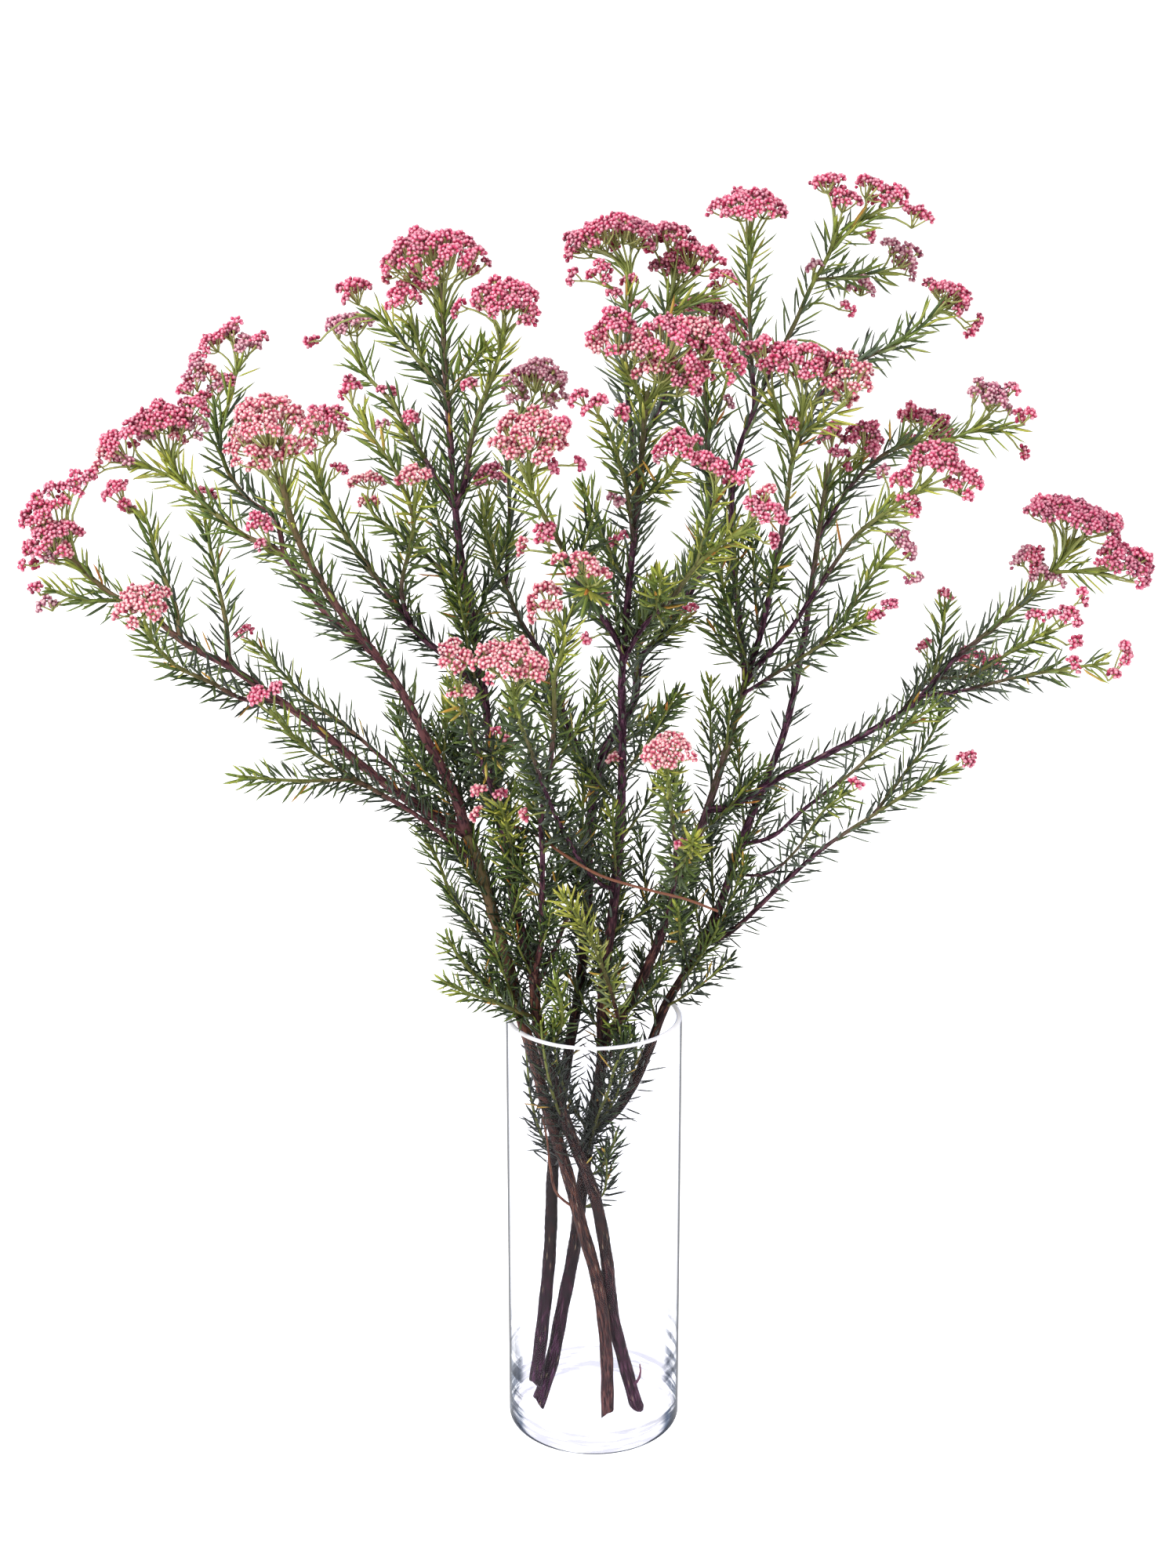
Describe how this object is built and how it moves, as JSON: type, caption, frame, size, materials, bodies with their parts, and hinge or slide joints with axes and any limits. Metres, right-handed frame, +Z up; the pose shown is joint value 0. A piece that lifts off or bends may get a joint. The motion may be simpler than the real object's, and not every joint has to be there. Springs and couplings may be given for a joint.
{
  "type": "rice flower stems in a glass vase",
  "caption": "Cut branching stems of pink rice flower with needle leaves and flat flower heads, standing in a clear glass cylinder vase.",
  "frame": {"origin": "middle of the vase's foot, on the surface it stands on", "axes": "+Z up along the vase's axis; -Y is the front that the picture shows, +X to its right"},
  "size_m": [0.5939, 0.3249, 0.7151],
  "materials": {
    "clear_glass": "polished clear glass",
    "bark_and_leaf": "brown bark with green needle leaves",
    "buds_pink": "matte papery buds, hot pink",
    "buds_light": "matte papery buds, pale pink",
    "buds_dark": "matte papery buds, deep magenta",
    "buds_dull": "matte papery buds, dusty rose"
  },
  "bodies": {
    "root": {"head_left_1": "buds_pink", "head_left_2": "buds_pink", "head_left_3": "buds_light", "head_left_4": "buds_light", "head_left_5": "buds_pink", "head_left_6": "buds_pink", "head_left_7": "buds_pink", "head_left_8": "buds_dull", "head_left_9": "buds_dull", "head_middle_10": "buds_pink", "head_middle_11": "buds_pink", "head_middle_12": "buds_light", "head_middle_13": "buds_pink", "head_middle_14": "buds_pink", "head_middle_15": "buds_pink", "head_middle_16": "buds_pink", "head_middle_17": "buds_dull", "head_middle_18": "buds_light", "head_middle_19": "buds_light", "head_middle_20": "buds_light", "head_rear_49": "buds_dark", "head_rear_50": "buds_dull", "head_rear_51": "buds_dark", "head_rear_52": "buds_pink", "head_right_21": "buds_light", "head_right_22": "buds_light", "head_right_23": "buds_light", "head_right_24": "buds_pink", "head_right_25": "buds_pink", "head_right_26": "buds_pink", "head_right_27": "buds_pink", "head_right_28": "buds_pink", "head_right_29": "buds_dark", "head_right_30": "buds_pink", "head_right_31": "buds_pink", "head_right_32": "buds_pink", "head_right_33": "buds_light", "head_right_34": "buds_pink", "head_right_35": "buds_pink", "head_right_36": "buds_pink", "head_right_37": "buds_dull", "head_right_38": "buds_pink", "head_right_39": "buds_pink", "head_right_40": "buds_pink", "head_right_41": "buds_dull", "head_right_42": "buds_dark", "head_right_43": "buds_dark", "head_right_44": "buds_pink", "head_right_45": "buds_pink", "head_right_46": "buds_pink", "head_right_47": "buds_light", "head_right_48": "buds_dark", "stem_left": "bark_and_leaf", "stem_middle": "bark_and_leaf", "stem_rear": "bark_and_leaf", "stem_right": "bark_and_leaf", "vase": "clear_glass"}
  },
  "joints": []
}
